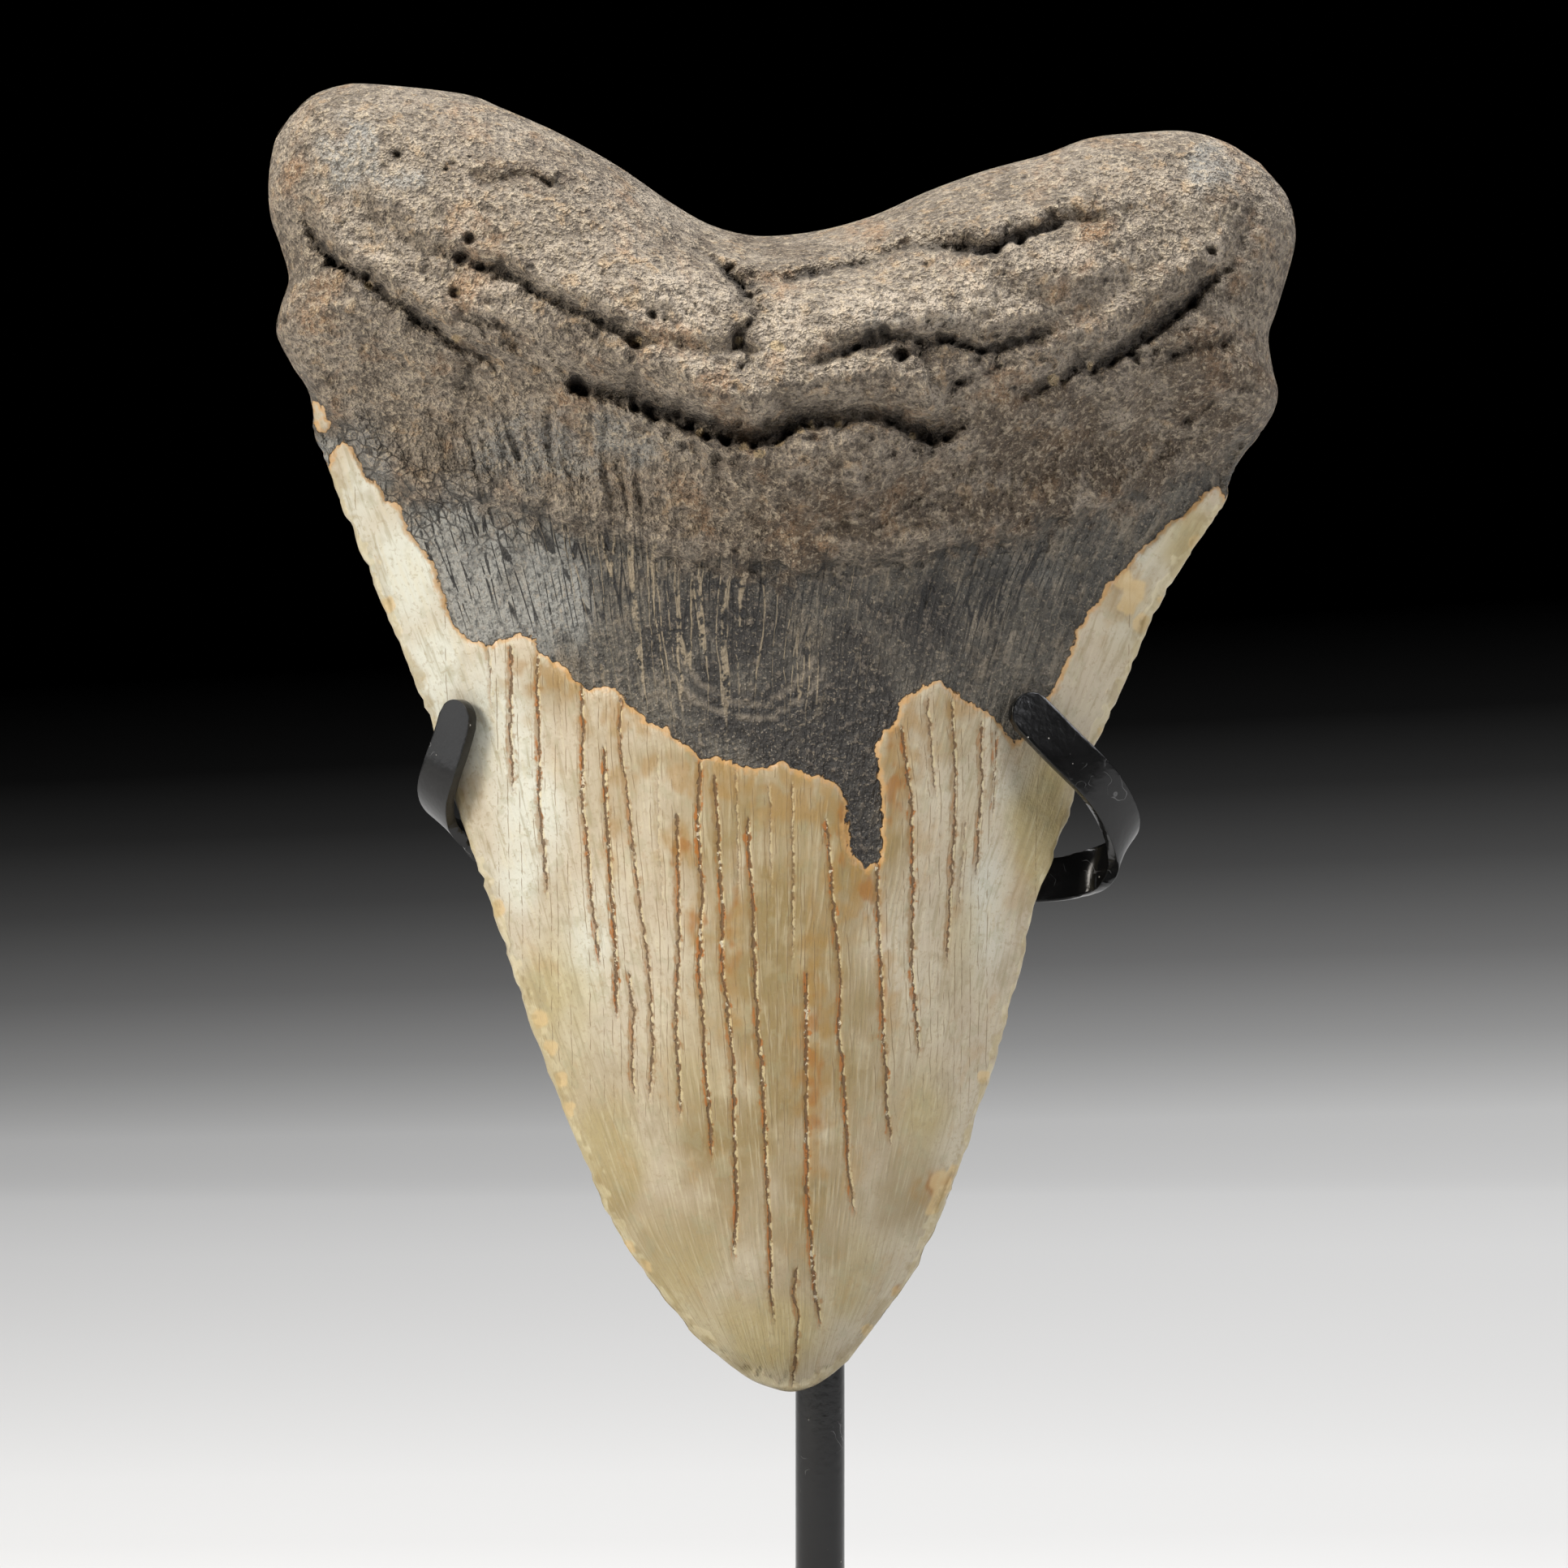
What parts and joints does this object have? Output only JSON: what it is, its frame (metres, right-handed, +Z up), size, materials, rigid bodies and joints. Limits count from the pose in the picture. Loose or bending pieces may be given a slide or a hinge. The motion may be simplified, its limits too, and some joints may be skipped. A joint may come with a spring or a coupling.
{
  "type": "fossil shark tooth on stand",
  "caption": "Large triangular fossil shark tooth with a thick two-lobed root, held point down by two flat hooked arms on an upright rod with a square base.",
  "frame": {"origin": "centre of the base's underside, under the rod's axis", "axes": "+Z up along the rod, the thick side of the root faces -Y, +X to the viewer's right"},
  "size_m": [0.1131, 0.08, 0.2014],
  "materials": {
    "fossil": "rough brown root, dark grey band and cream enamel with brown cracks",
    "black_paint": "semi-gloss black paint with fine dust and scratches"
  },
  "bodies": {
    "root": {"tooth": "fossil", "left_arm": "black_paint", "right_arm": "black_paint", "rod": "black_paint", "base": "black_paint"}
  },
  "joints": []
}
